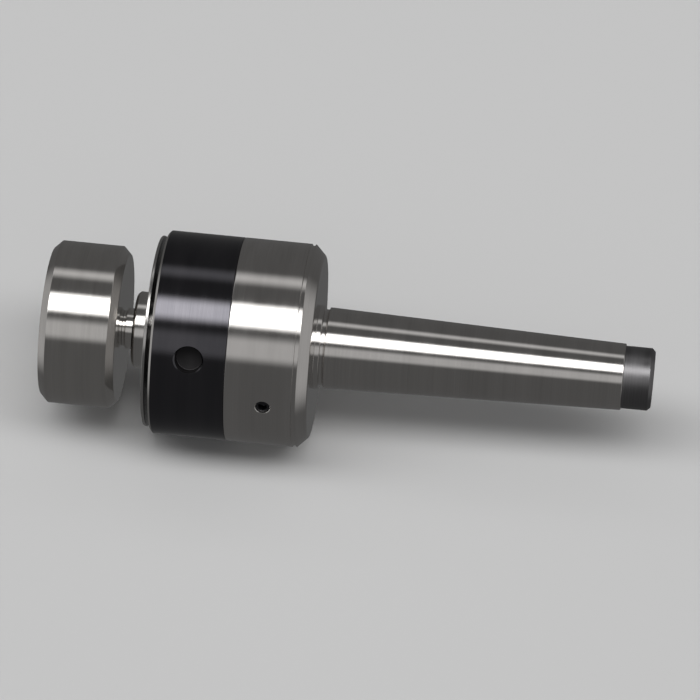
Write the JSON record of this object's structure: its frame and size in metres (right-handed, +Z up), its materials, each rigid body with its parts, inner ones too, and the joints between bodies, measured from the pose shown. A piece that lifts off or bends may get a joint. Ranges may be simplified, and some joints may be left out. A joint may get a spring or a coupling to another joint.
{
  "type": "live center",
  "caption": "Revolving lathe center: taper shank and bearing housing with a threaded front nut, carrying a spinning spindle with a pull-off blank insert.",
  "frame": {"origin": "on the axis of rotation, in the gauge plane of the taper shank", "axes": "+X along the axis towards the end of the shank, -X towards the work, +Z up"},
  "size_m": [0.1788, 0.06, 0.06],
  "materials": {
    "ground_steel": "fine ground, bright",
    "blued_steel": "blued black, glossy",
    "shield_steel": "turned, satin",
    "spindle_steel": "ground, bright",
    "insert_steel": "turned and ground, bright",
    "bearing_steel": "polished",
    "cage_brass": "machined",
    "pressed_steel": "pressed, satin",
    "black_oxide": "black oxide, satin",
    "seal_rubber": "matt"
  },
  "bodies": {
    "housing": {"housing": "ground_steel", "grease_plug": "black_oxide", "front_nut": "blued_steel", "front_seal": "seal_rubber", "front_bearing_outer_race": "bearing_steel", "thrust_housing_washer": "bearing_steel", "needle_cup": "pressed_steel"},
    "spindle": {"spindle": "spindle_steel", "dust_shield": "shield_steel", "front_bearing_inner_race": "bearing_steel", "lock_washer": "pressed_steel", "spindle_lock_nut": "black_oxide", "thrust_shaft_washer": "bearing_steel"},
    "front_row_work_side": {"front_cage_work_side": "cage_brass", "front_balls_work_side": "bearing_steel"},
    "front_row_shank_side": {"front_cage_shank_side": "cage_brass", "front_balls_shank_side": "bearing_steel"},
    "thrust_row": {"thrust_cage": "cage_brass", "thrust_balls": "bearing_steel"},
    "needle_row": {"needle_cage": "pressed_steel", "needle_rollers": "bearing_steel"},
    "insert": {"insert": "insert_steel"},
    "jack_screw": {"jack_screw": "black_oxide"}
  },
  "joints": [
    {"name": "spindle_spin", "type": "hinge", "parent": "housing", "child": "spindle", "pos_m": [0, 0, 0], "axis": [1, 0, 0], "continuous": true},
    {"name": "front_row_work_side_spin", "type": "hinge", "parent": "housing", "child": "front_row_work_side", "pos_m": [0, 0, 0], "axis": [1, 0, 0], "continuous": true},
    {"name": "front_row_shank_side_spin", "type": "hinge", "parent": "housing", "child": "front_row_shank_side", "pos_m": [0, 0, 0], "axis": [1, 0, 0], "continuous": true},
    {"name": "thrust_row_spin", "type": "hinge", "parent": "housing", "child": "thrust_row", "pos_m": [0, 0, 0], "axis": [1, 0, 0], "continuous": true},
    {"name": "needle_row_spin", "type": "hinge", "parent": "housing", "child": "needle_row", "pos_m": [0, 0, 0], "axis": [1, 0, 0], "continuous": true},
    {"name": "insert_pull", "type": "slide", "parent": "spindle", "child": "insert", "axis": [-1, 0, 0], "range_m": [0, 0.03]},
    {"name": "jack_screw_travel", "type": "slide", "parent": "insert", "child": "jack_screw", "axis": [1, 0, 0], "range_m": [-0.046, 0.003]}
  ],
  "couplings": [
    {"joint": "front_row_work_side_spin", "follows": "spindle_spin", "ratio": 0.4011},
    {"joint": "front_row_shank_side_spin", "follows": "spindle_spin", "ratio": 0.4011},
    {"joint": "thrust_row_spin", "follows": "spindle_spin", "ratio": 0.5},
    {"joint": "needle_row_spin", "follows": "spindle_spin", "ratio": 0.4353}
  ]
}
